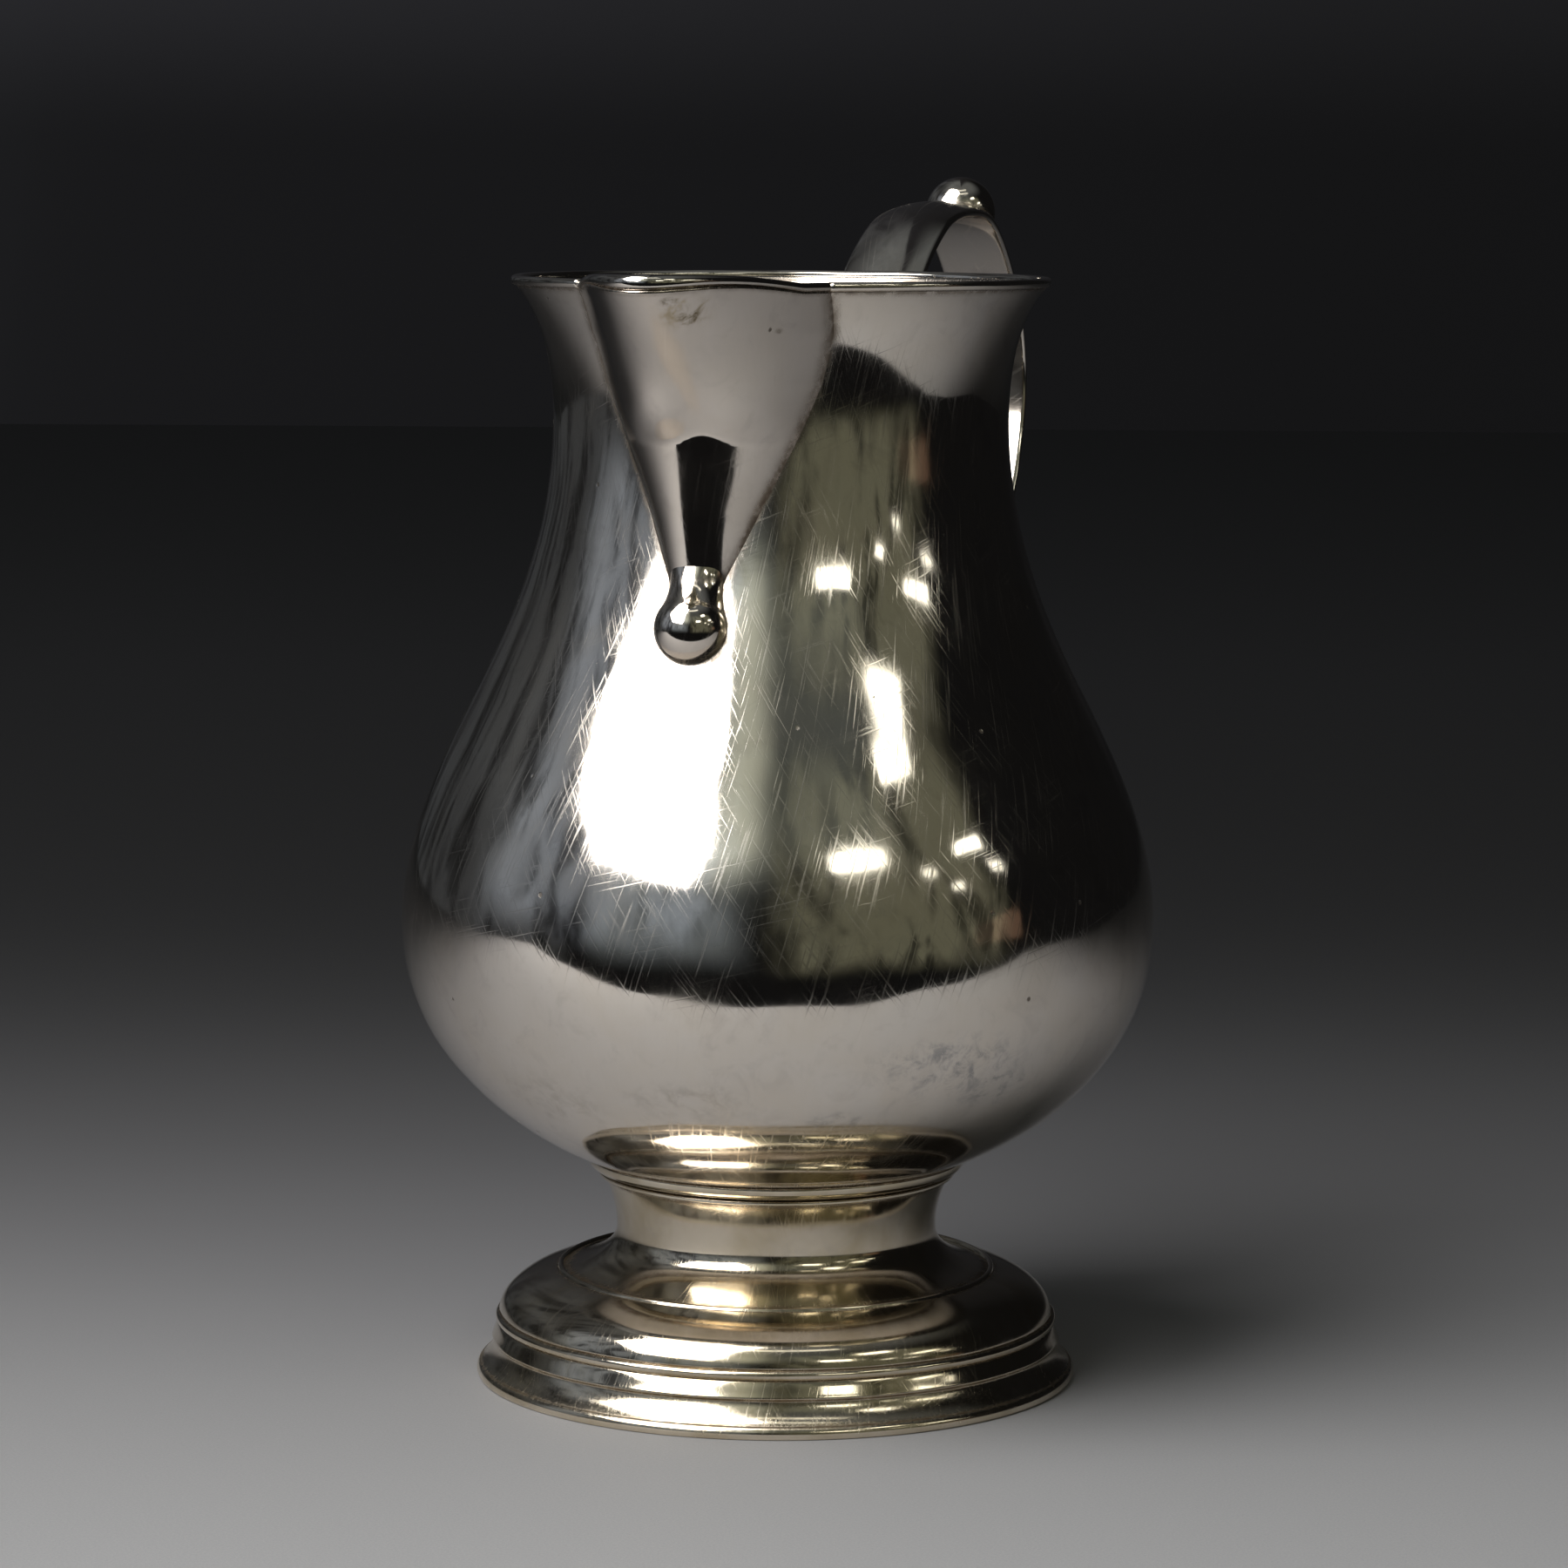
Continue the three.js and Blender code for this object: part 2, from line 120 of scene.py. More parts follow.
def softened(points, radius, spacing=0.07, closed=True):
    """The profile with its corners worn round, as on hand-finished silver."""
    p = resampled(points, spacing, closed)
    reach = max(1, int(round(3 * radius / spacing)))
    weights = np.exp(-0.5 * (np.arange(-reach, reach + 1) * spacing / radius) ** 2)
    weights /= weights.sum()
    if closed:
        padded = np.concatenate([p[-reach:], p, p[:reach]])
    else:
        first = 2 * p[0] - p[1 : reach + 1][::-1]
        last = 2 * p[-1] - p[-reach - 1 : -1][::-1]
        padded = np.concatenate([first, p, last])
    return np.stack([np.convolve(padded[:, i], weights, "valid") for i in (0, 1)], 1)


def waviness(points, size, seed):
    """A smooth random field of about unit height, with lumps of about that size in mm."""
    rng = np.random.default_rng(seed)
    total = np.zeros(len(points))
    for _ in range(14):
        direction = rng.normal(size=3)
        direction *= TAU / size * rng.uniform(0.6, 1.4) / np.linalg.norm(direction)
        total += np.sin(points @ direction + rng.uniform(0, TAU))
    return total / math.sqrt(7)


RING_SEGMENTS = 224


def lathe_points(profile, angles):
    """Points by profile row, then by angle; angle 0 is the spout side."""
    r, z = profile[:, 0][:, None], profile[:, 1][:, None]
    a = angles if angles.ndim == 2 else angles[None, :]
    return np.stack([r * np.sin(a), -r * np.cos(a), z + 0 * a], -1)


def ring(name, profile, radius, spacing, wave, masks):
    """A closed profile turned round the axis."""
    p = softened(profile, radius, spacing)
    flat = lathe_points(p, np.linspace(0, TAU, RING_SEGMENTS, endpoint=False)).reshape(-1, 3)
    if wave:
        flat = radial_push(flat, wave * waviness(flat, 9, 3))
    made = {k: f(flat) for k, f in masks.items()}
    return make_piece(name, flat, grid_faces(len(p), RING_SEGMENTS, True, True), made)


def radial_push(flat, amount):
    """The points moved outwards from the axis."""
    r = np.maximum(np.hypot(flat[:, 0], flat[:, 1]), 1e-6)
    out = flat.copy()
    out[:, 0] += flat[:, 0] / r * amount
    out[:, 1] += flat[:, 1] / r * amount
    return out


def near(value, centre, width):
    """1 at the centre, falling smoothly to almost 0 at twice the width."""
    return np.exp(-(((value - centre) / width) ** 2))


# ---- body ----------------------------------------------------------------------------------
WALL = 0.7
BODY_SEGMENTS = 288
underside = bezier([0, 17], [5.5, 17.02], [10.5, 17.45], [15.9, 18.35], 14)
bowl = bezier([15.9, 18.35], [21.2, 20.4], [30.6, 26.4], [30.6, 37.5], 46)
shoulder = bezier([30.6, 37.5], [30.6, 52.1], [18.4, 60.1], [18.4, 79], 84)
neck = bezier([18.4, 79], [18.4, 84.6], [20.1, 87.6], [21.45, 89.3], 30)
OUTLINE = np.array(underside + bowl[1:] + shoulder[1:] + neck[1:])


def body_radius(z):
    return np.interp(z, OUTLINE[:, 1], OUTLINE[:, 0])


# the beak: half widths where it meets the neck, and its keel
BEAK_BOTTOM, DROP_CENTRE = 67.2, 63.2
JOINT_Z = [64, BEAK_BOTTOM, 72, 78.3, 82, 86, 92]
JOINT_HALF = [1.9, 2.7, 4.7, 7.6, 9.1, 10.2, 10.9]
KEEL_BOTTOM_REACH, KEEL_SLOPE = 21.4, 0.18
FLARE_START, FLARE_RATE, FLARE_POWER = 78.3, 0.5612, 1.15
RIM_RADIUS, TIP_REACH = 21.7, 35
# the lip: how far it rises on the cheeks and at the tip, and its wire
LIP_WAVE, LIP_RISE = 0.5, 0.1
LIP_HALF_WIDTH, LIP_HALF_HEIGHT, LIP_SWELL = 0.44, 0.35, 0.37


def joint_half(z):
    return np.interp(z, JOINT_Z, JOINT_HALF)


def keel_reach(z):
    """The keel stands nearly upright above the drop, then flares out towards the lip."""
    upright = KEEL_BOTTOM_REACH + (z - BEAK_BOTTOM) * KEEL_SLOPE
    return upright + FLARE_RATE * np.maximum(z - FLARE_START, 0) ** FLARE_POWER


def seam_grime(points):
    """How near a point is to the solder line round the beak and the drop."""
    x, y, z = points.T
    side = near(np.abs(x) - joint_half(z) + 0.25, 0, 0.36) * (z > 66)
    drop = near(np.hypot(x, z - DROP_CENTRE + 0.1) - 3.0, 0, 0.4) * (z <= 67) * (z > 59)
    return np.maximum(side, drop) * (y < 0)


def body_shell():
    """The raised sheet: an outer and an inner skin, parted at the neck behind the beak."""
    outer = OUTLINE.copy()
    step = np.gradient(outer, axis=0)
    step /= np.linalg.norm(step, axis=1)[:, None]
    inner = outer + np.stack([-step[:, 1], step[:, 0]], 1) * WALL
    inner[0] = [0, outer[0, 1] + WALL]
    outer[-1, 1] = inner[-1, 1] = SHEET_TOP + 0.2
    rows = len(outer)
    segments = BODY_SEGMENTS
    z = outer[:, 1]
    open_half = (joint_half(z) - 0.9) * np.sqrt(np.clip((z - 69) / 2.2, 0, 1))
    part = np.arcsin(np.clip(open_half / np.maximum(outer[:, 0], 3), 0, 0.9))
    share = np.linspace(0, 1, segments + 1)[None, :]
    angles = part[:, None] + (TAU - 2 * part[:, None]) * share
    sheets = [lathe_points(p, angles).reshape(-1, 3) for p in (outer, inner)]
    hammered = 0.016 * waviness(sheets[0], 11, 11) + 0.055 * waviness(sheets[0], 27, 5)
    hammered += 0.009 * waviness(sheets[0], 6.5, 17) + 0.0022 * waviness(sheets[0], 3.2, 19)
    fade = np.clip((SHEET_TOP - sheets[0][:, 2]) / 6, 0.25, 1) * np.clip((sheets[0][:, 2] - 18.6) / 3, 0, 1)
    sheets = [radial_push(s, hammered * fade) for s in sheets]
    points = np.concatenate(sheets)
    columns = segments + 1
    index = np.arange(2 * rows * columns).reshape(2, rows, columns)
    closed = part <= 1e-9
    for s in (0, 1):
        index[s, closed, segments] = index[s, closed, 0]
        index[s, 0, :] = index[s, 0, 0]
    faces = []
    for s in (0, 1):
        for k in range(rows - 1):
            for j in range(segments):
                quad = [index[s, k, j], index[s, k, j + 1], index[s, k + 1, j + 1], index[s, k + 1, j]]
                if s:
                    quad.reverse()
                quad = list(dict.fromkeys(quad))
                if len(quad) > 2:
                    faces.append(quad)
    for j in range(segments):
        faces.append([index[0, -1, j], index[0, -1, j + 1], index[1, -1, j + 1], index[1, -1, j]])
    for k in range(rows - 1):
        if closed[k] and closed[k + 1]:
            continue
        for j in (0, segments):  # the two edges of the opening
            quad = [index[0, k, j], index[0, k + 1, j], index[1, k + 1, j], index[1, k, j]]
            faces.append(quad[::-1] if j else quad)
    used = np.unique(np.concatenate([np.array(f) for f in faces]))
    renumber = np.full(len(points), -1)
    renumber[used] = np.arange(len(used))
    points, faces = points[used], [renumber[np.array(f)] for f in faces]
    collar = near(points[:, 2], 18.3, 0.35) * (np.hypot(points[:, 0], points[:, 1]) > 14)
    rim = near(points[:, 2], SHEET_TOP - 0.1, 0.22)
    grime = np.maximum(np.maximum(seam_grime(points), collar), rim)
    return make_piece("jug_body", points, faces, {"grime": grime})


def rim_wire():
    """The wire round the mouth, open where the beak joins."""
    profile = [[20.78, 89.25], [21.5, 89.22], [21.66, 89.34], [21.78, 89.6],
               [21.74, 89.86], [21.5, 90.0], [21.05, 89.98], [20.8, 89.75]]
    p = softened(profile, 0.07, 0.05)
    start = math.asin((joint_half(SHEET_TOP) - 0.35) / 21.4)
    angles = np.linspace(start, TAU - start, 300)
    grid = lathe_points(p, angles)
    flat = grid.reshape(-1, 3)
    flat = radial_push(flat, 0.02 * waviness(flat, 9, 21))
    flat[:, 2] += 0.012 * waviness(flat, 7, 8)
    flat[:, 2] = np.minimum(flat[:, 2], RIM_TOP + 0.02)
    faces = grid_faces(len(p), len(angles), True, False)
    columns = len(angles)
    faces.append([k * columns for k in range(len(p))])
    faces.append([k * columns + columns - 1 for k in range(len(p))][::-1])
    return make_piece("jug_rim_wire", flat, faces, {"grime": near(flat[:, 2], 89.22, 0.12)})


# ---- spout ---------------------------------------------------------------------------------
def beak_point(z, wall, t):
    """A point of the beak at a height, across from one joint (t 0) over the keel to the other (t 1)."""
    half = joint_half(z) - wall * 1.15
    # the flare starts a little lower at the sides
    arched = 1.5 * (1 - near(t, 0.42, 0.13)) * near(z, 79.5, 2.6)
    tip = keel_reach(z + arched) - wall * 1.7
    joint = np.sqrt(np.maximum(body_radius(np.minimum(z, SHEET_TOP)) ** 2 - half**2, 1)) - 0.35
    # nearly a round arch low down, a blunt point at the lip
    sharpness = 0.68 + 0.1 * np.maximum(z - 78, 0)
    corner = tip + (tip - joint) / sharpness
    a, b, c = (1 - t) ** 2, 2 * sharpness * t * (1 - t), t**2
    reach = (a * joint + b * corner + c * joint) / (a + b + c)
    return np.stack([(a - c) * half / (a + b + c), -reach, z + 0 * t], -1)


def along_lip(reach):
    """0 at the round rim, 1 at the tip of the beak."""
    return np.clip((reach - RIM_RADIUS) / (TIP_REACH - RIM_RADIUS), 0, 1)


def lip_height(reach):
    """The lip rises along each cheek and droops again at the tip."""
    along = along_lip(reach)
    return SHEET_TOP + LIP_RISE * along + LIP_WAVE * np.sin(math.pi * along)


def spout_beak():
    """The beak's sheet: two skins, closed along their edges."""
    columns, rows = 121, 90
    t = np.linspace(0, 1, columns)[None, :]
    sheets = []
    for wall, bottom in ((0.0, 66.2), (WALL, 68.6)):
        up = np.linspace(0, 1, rows)[:, None] ** 0.9
        top = np.full_like(t, SHEET_TOP)
        for _ in range(6):
            top = lip_height(-beak_point(top, wall, t)[..., 1])
        z = bottom + (top - bottom) * up
        grid = beak_point(z, wall, t)
        flat = grid.reshape(-1, 3)
        dent = 0.03 * waviness(flat, 13, 31) + 0.008 * waviness(flat, 6, 32)
        sheets.append(flat + np.array([0.0, -1.0, 0.0]) * dent[:, None])
    points = np.concatenate(sheets)
    one = rows * columns
    outer = grid_faces(rows, columns)
    faces = outer + [[v + one for v in f[::-1]] for f in outer]
    edge = list(range(columns))
    edge += [k * columns + columns - 1 for k in range(1, rows)]
    edge += [(rows - 1) * columns + j for j in range(columns - 2, -1, -1)]
    edge += [k * columns for k in range(rows - 2, 0, -1)]
    for a, b in zip(edge, edge[1:] + edge[:1]):
        faces.append([b, a, a + one, b + one])
    grime = seam_grime(points)
    lip = near(points[:, 2], lip_height(-points[:, 1]) - 0.05, 0.25)
    return make_piece("jug_spout_beak", points, faces, {"grime": np.maximum(grime, 0.8 * lip)})


def lip_wire():
    """The wire along the beak's top edge, swelling towards the tip."""
    steps, around = 160, 20
    t = np.linspace(0, 1, steps + 1)
    path = beak_point(np.full_like(t, SHEET_TOP), WALL * 0.45, t)
    along = np.gradient(path, axis=0)
    along[:, 2] = 0
    along /= np.linalg.norm(along, axis=1)[:, None]
    across = np.stack([along[:, 1], -along[:, 0], 0 * t], 1)
    swell = LIP_SWELL * along_lip(-path[:, 1]) ** 3
    base = lip_height(-path[:, 1]) - 0.03
    turn = np.linspace(0, TAU, around, endpoint=False)
    square = np.sign(np.cos(turn)) * np.abs(np.cos(turn)) ** 0.8
    points = path[:, None, :] + across[:, None, :] * ((LIP_HALF_WIDTH + swell)[:, None] * square)[..., None]
    points[..., 2] = base[:, None] + (LIP_HALF_HEIGHT + swell)[:, None] * (1 + np.sin(turn))
    flat = points.reshape(-1, 3)
    faces = grid_faces(steps + 1, around, False, True)
    faces.append(list(range(around))[::-1])
    faces.append([steps * around + j for j in range(around)])
    grime = near(flat[:, 2], lip_height(-flat[:, 1]) + 0.02, 0.14)
    return make_piece("jug_spout_lip_wire", flat, faces, {"grime": grime})


def turned_about(name, profile, origin, direction, segments, masks=None):
    """An open profile (radius, height) from pole to pole, turned about a line of its own."""
    direction = np.array(direction, float) / np.linalg.norm(direction)
    side = np.cross(direction, [1.0, 0.0, 0.0])
    side /= np.linalg.norm(side)
    other = np.cross(side, direction)
    a = np.linspace(0, TAU, segments, endpoint=False)
    circle = np.cos(a)[:, None] * side + np.sin(a)[:, None] * other
    origin = np.array(origin, float)
    middle = [origin + direction * h + circle * r for r, h in profile[1:-1]]
    poles = [[origin + direction * profile[end][1]] for end in (0, -1)]
    points = np.concatenate([poles[0], *middle, poles[1]])
    count = len(middle)
    faces = [[v + 1 for v in f] for f in grid_faces(count, segments, False, True)]
    last = len(points) - 1
    for j in range(segments):
        k = (j + 1) % segments
        faces.append([0, 1 + k, 1 + j])
        faces.append([last, 1 + (count - 1) * segments + j, 1 + (count - 1) * segments + k])
    made = {k: f(points) for k, f in (masks or {}).items()}
    return make_piece(name, points, faces, made)


def spout_drop():
    """The cast bud under the beak: a short waisted stem and a ball."""
    top, centre = np.array([0, -19.3, BEAK_BOTTOM]), np.array([0, -21.5, DROP_CENTRE])
    length = np.linalg.norm(top - centre)
    profile = [[0, length + 1.2], [1.5, length + 1.2]]
    profile += bezier([2.72, length + 0.9], [2.15, length - 0.6], [2.05, 2.75], [2.62, 1.25], 26)
    for turn in np.linspace(0.43, -math.pi / 2, 40)[1:]:
        profile.append([2.9 * math.cos(turn), 2.9 * math.sin(turn)])
    profile[-1][0] = 0

    def grime(p):
        behind = np.hypot(p[:, 0], p[:, 1]) - body_radius(p[:, 2])
        return near(behind, 0, 0.45) + 0.5 * near(p[:, 2], 67.0, 0.25)

    return turned_about("jug_spout_drop", profile, centre, top - centre, 72, {"grime": grime})


# ---- foot ----------------------------------------------------------------------------------
def grooves(*heights):
    """A grime mask for the solder lines of a ring, from (height, width) pairs."""
    def mask(p):
        return np.max([near(p[:, 2], z, width) for z, width in heights], axis=0)
    return {"grime": mask}


def foot():
    """The rings of the foot, from the collar under the bowl down to the wire it stands on."""
    ovolo = bezier([14.45, 17.05], [15.3, 17.15], [15.5, 17.6], [15.45, 18.1], 10)
    collar = [[12.4, 16.5], [14.2, 16.5], [14.62, 16.62], [14.62, 16.9], [14.25, 17.0],
              *ovolo, [15.2, 18.25], [15.15, 18.5], [12.5, 18.15]]

    scotia = bezier([14.2, 16.55], [13.6, 15.4], [13.1, 13.9], [13.1, 12.3], 16)
    skirt = bezier([13.1, 12.3], [13.1, 10.6], [14.9, 9.5], [17.5, 8.78], 22)
    stem = scotia + skirt[1:]
    stem += [[17.5, 8.0], [15.2, 8.9], [13.3, 9.9], [12.35, 11.2], [12.3, 12.6], [12.5, 14.3], [13.2, 16.3]]

    bead = [[17.4, 8.05], [17.4, 8.75], [17.52, 8.98], [17.7, 9.06],
            [17.88, 8.98], [18.0, 8.72], [18.0, 8.05]]

    dome = bezier([17.92, 8.8], [20.3, 8.15], [22.5, 7.2], [22.75, 5.15], 26)
    dome += bezier([21.95, 5.1], [21.7, 6.6], [20, 7.35], [17.92, 8.0], 10)

    reed = bezier([22.72, 4.33], [23.22, 4.43], [23.22, 5.07], [22.72, 5.17], 14)
    reed += [[21.95, 5.15], [21.95, 4.35]]

    face = bezier([22.72, 4.38], [22.95, 4.2], [23.06, 3.7], [23.34, 3.08], 12)
    face += bezier([23.36, 3.0], [23.37, 2.9], [23.2, 2.86], [23.16, 2.8], 4)
    cove = bezier([23.16, 2.78], [23.32, 2.1], [23.75, 1.45], [24.32, 1.0], 16)
    flare = face + cove + [[22.4, 0.95], [22.4, 2.6], [21.95, 3.4], [21.95, 4.38]]

    edge = bezier([24.5, 0.0], [24.7, 0.2], [24.7, 0.8], [24.28, 1.02], 12)

    # node: profile, corner radius, spacing, waviness, solder lines
    rings = {
        "foot_collar": (collar, 0.045, 0.06, 0.0, grooves((16.97, 0.1), (18.3, 0.18), (16.45, 0.1))),
        "foot_stem": (stem, 0.06, 0.12, 0.02, grooves((16.4, 0.16), (8.85, 0.16))),
        "foot_bead_wire": (bead, 0.035, 0.04, 0.0, grooves((8.72, 0.07))),
        "foot_dome": (dome, 0.05, 0.12, 0.03, grooves((5.1, 0.14), (8.85, 0.12))),
        "foot_step_reed": (reed, 0.04, 0.05, 0.0, grooves((4.33, 0.1), (5.17, 0.1))),
        "foot_flare": (flare, 0.05, 0.08, 0.025, grooves((4.4, 0.14), (2.86, 0.16), (1.0, 0.14))),
        "foot_rim_wire": ([[22.4, 0.0], *edge, [22.4, 1.0]], 0.05, 0.07, 0.0, grooves((1.0, 0.1))),
    }
    return {node: ring(f"jug_{node}", profile, radius, spacing, wave, masks)
            for node, (profile, radius, spacing, wave, masks) in rings.items()}


# ---- handle --------------------------------------------------------------------------------
# the strap's line in the (reach, height) plane, from the neck over the top to the curl
STRAP_PATH = [
    [17, 79.4], [21.4, 84], [25.6, 87.5], [30.2, 90.9], [36, 93.6], [42.7, 94.4], [49.4, 93.6],
    [55.3, 89.7], [59.8, 84.2], [61.2, 78.8], [59.9, 72.5], [55.9, 65.6], [50, 59], [43.2, 53.4],
    [36.8, 49.2], [32.6, 45.8], [31.7, 42], [33.4, 38.8], [36.3, 38], [38.2, 39.7], [37.7, 41.7],
]
STRAP_AROUND = 64


def strap_curve(count):
    """Even points along a centripetal curve through the strap's path, and its tangents."""
    p = np.array(STRAP_PATH, float)
    p = np.concatenate([[2 * p[0] - p[1]], p, [2 * p[-1] - p[-2]]])
    dense = []
    for i in range(1, len(p) - 2):
        level = list(p[i - 1 : i + 3])
        knots = np.concatenate([[0], np.cumsum(np.linalg.norm(np.diff(level, axis=0), axis=1) ** 0.5)])
        s = np.linspace(knots[1], knots[2], 60, endpoint=False)[:, None]
        for width, starts in ((1, (0, 1, 2)), (2, (0, 1)), (1, (1,))):
            level = [((knots[j + width] - s) * a + (s - knots[j]) * b) / (knots[j + width] - knots[j])
                     for j, a, b in zip(starts, level, level[1:])]
        dense.append(level[0])
    dense = np.concatenate(dense + [p[-2:-1]])
    length = np.concatenate([[0], np.cumsum(np.hypot(*np.diff(dense, axis=0).T))])
    at = np.linspace(0, length[-1], count)
    points = np.stack([np.interp(at, length, dense[:, i]) for i in (0, 1)], 1)
    tangents = np.gradient(points, axis=0)
    tangents /= np.linalg.norm(tangents, axis=1)[:, None]
    return points, tangents


def handle_strap():
    """One bent strap, crowned outside, flat inside, narrowing downwards."""
    count = 520
    path, along = strap_curve(count)
    t = np.linspace(0, 1, count)
    keep = path[:, 0] > 17.6
    path, along, t = path[keep], along[keep], t[keep]
    outward = np.stack([-along[:, 1], along[:, 0]], 1)
    rings = []
    for centre, out, at in zip(path, outward, t):
        width = 7.6 - 3.0 * at**1.2
        crown = [[s * width / 2, 0.55 + 0.75 * (1 - s * s)] for s in np.linspace(-1, 1, 15)]
        section = softened(crown + [[width / 2, 0.0], [-width / 2, 0.0]], 0.13, width / 44)[:96]
        girth = np.hypot(*np.diff(np.vstack([section, section[:1]]), axis=0).T).sum()
        section = resampled(section.tolist(), girth / STRAP_AROUND, True)[:STRAP_AROUND]
        x, lift = section.T
        rings.append(np.stack([x, centre[0] + out[0] * lift, centre[1] + out[1] * lift], 1))
    points = np.array(rings)
    rows, around = points.shape[:2]
    flat = points.reshape(-1, 3)
    flat[:, 2] += 0.012 * waviness(flat, 8, 41)
    # the top end lies just under the skin of the neck
    r = np.hypot(flat[:, 0], flat[:, 1])
    least = body_radius(flat[:, 2]) - 0.4
    inside = (r < least) & (flat[:, 2] > 70)
    flat[inside, :2] *= (least[inside] / r[inside])[:, None]
    faces = grid_faces(rows, around, False, True)
    faces.append(list(range(around))[::-1])
    faces.append([(rows - 1) * around + j for j in range(around)])
    grime = near(np.hypot(flat[:, 0], flat[:, 1]) - body_radius(flat[:, 2]), 0, 0.6) * (flat[:, 2] > 70)
    return make_piece("jug_handle_strap", flat, faces, {"grime": grime})


def thumb_ball():
    """A ball on the crown of the strap, its underside flat against it."""
    path, along = strap_curve(1001)
    on_strap, radius = 322, 3.1
    centre, tangent = path[on_strap], along[on_strap]
    out = np.array([0, -tangent[1], tangent[0]])
    origin = np.array([0, centre[0], centre[1]]) + out * 1.4
    start = math.asin(-0.55 / radius)
    profile = [[0, -0.75], [2.4, -0.75], [2.9, -0.72]]
    profile += [[radius * math.cos(a), radius * math.sin(a)] for a in np.linspace(start, math.pi / 2, 48)]
    profile[-1][0] = 0

    def grime(p):
        return near((p - origin) @ out, -0.5, 0.35)

    return turned_about("jug_thumb_ball", profile, origin, out, 96, {"grime": grime})


def lower_boss():
    """The short waisted peg between the belly and the strap's lower end."""
    z = 44.2
    root = float(body_radius(z))
    profile = [[0, -0.4], [1.6, -0.4], [2.15, -0.3], [2.05, 0.15], [1.85, 0.6],
               [1.8, 1.0], [1.85, 1.4], [2.0, 1.9], [1.9, 2.15], [0, 2.15]]
    smooth = softened(profile, 0.12, 0.1, closed=False)
    smooth[0, 0] = smooth[-1, 0] = 0

    def grime(p):
        return near(p[:, 1], root + 0.15, 0.5) + near(p[:, 1], root + 1.7, 0.4)

    return turned_about("jug_handle_boss", smooth.tolist(), [0, root, z], [0, 1, 0], 48, {"grime": grime})


# ---- materials -----------------------------------------------------------------------------
class Nodes:
    """Short names for making shader nodes."""

    def __init__(self, tree):
        self.tree = tree
        tree.nodes.clear()

    def add(self, kind, values=None, **settings):
        node = self.tree.nodes.new(kind)
        for key, value in settings.items():
            setattr(node, key, value)
        for key, value in (values or {}).items():
            self.put(node.inputs[key], value)
        return node

    def put(self, socket, value):
        if isinstance(value, bpy.types.NodeSocket):
            self.tree.links.new(value, socket)
        else:
            socket.default_value = value

    def math(self, operation, a, b=0.0, clamp=False):
        return self.add("ShaderNodeMath", {0: a, 1: b}, operation=operation, use_clamp=clamp).outputs[0]

    def vector(self, operation, a, b=None, scale=None):
        node = self.add("ShaderNodeVectorMath", {0: a}, operation=operation)
        if b is not None:
            self.put(node.inputs[1], b)
        if scale is not None:
            self.put(node.inputs["Scale"], scale)
        return node.outputs["Value" if operation in ("DOT_PRODUCT", "LENGTH", "DISTANCE") else "Vector"]

    def smooth(self, value, low, high, to_low=0.0, to_high=1.0):
        values = {0: value, 1: low, 2: high, 3: to_low, 4: to_high}
        return self.add("ShaderNodeMapRange", values, interpolation_type="SMOOTHSTEP").outputs[0]

    def noise(self, vector, scale, detail=3.0, rough=0.5, distortion=0.0):
        values = {"Vector": vector, "Scale": scale, "Detail": detail}
        values |= {"Roughness": rough, "Distortion": distortion}
        return self.add("ShaderNodeTexNoise", values).outputs["Fac"]

    def mix(self, factor, a, b, blend="MIX"):
        node = self.add("ShaderNodeMix", data_type="RGBA", blend_type=blend)
        for socket, value in ((node.inputs[0], factor), (node.inputs[6], a), (node.inputs[7], b)):
            self.put(socket, value)
        return node.outputs[2]

    def xyz(self, vector):
        return self.add("ShaderNodeSeparateXYZ", {0: vector}).outputs

    def combine(self, x, y, z):
        return self.add("ShaderNodeCombineXYZ", {0: x, 1: y, 2: z}).outputs[0]


BRIGHT, TARNISH = (0.93, 0.865, 0.79), (0.87, 0.775, 0.655)


# slant, scale across and along, threshold and offset of each set of fine lines
HAIRLINES = [(0.22, 6.0, 0.14, 0.57, 0.0), (-0.5, 6.6, 0.18, 0.58, 31.0), (1.25, 6.0, 0.14, 0.6, 57.0)]
RELIEF = 0.0000022  # metres


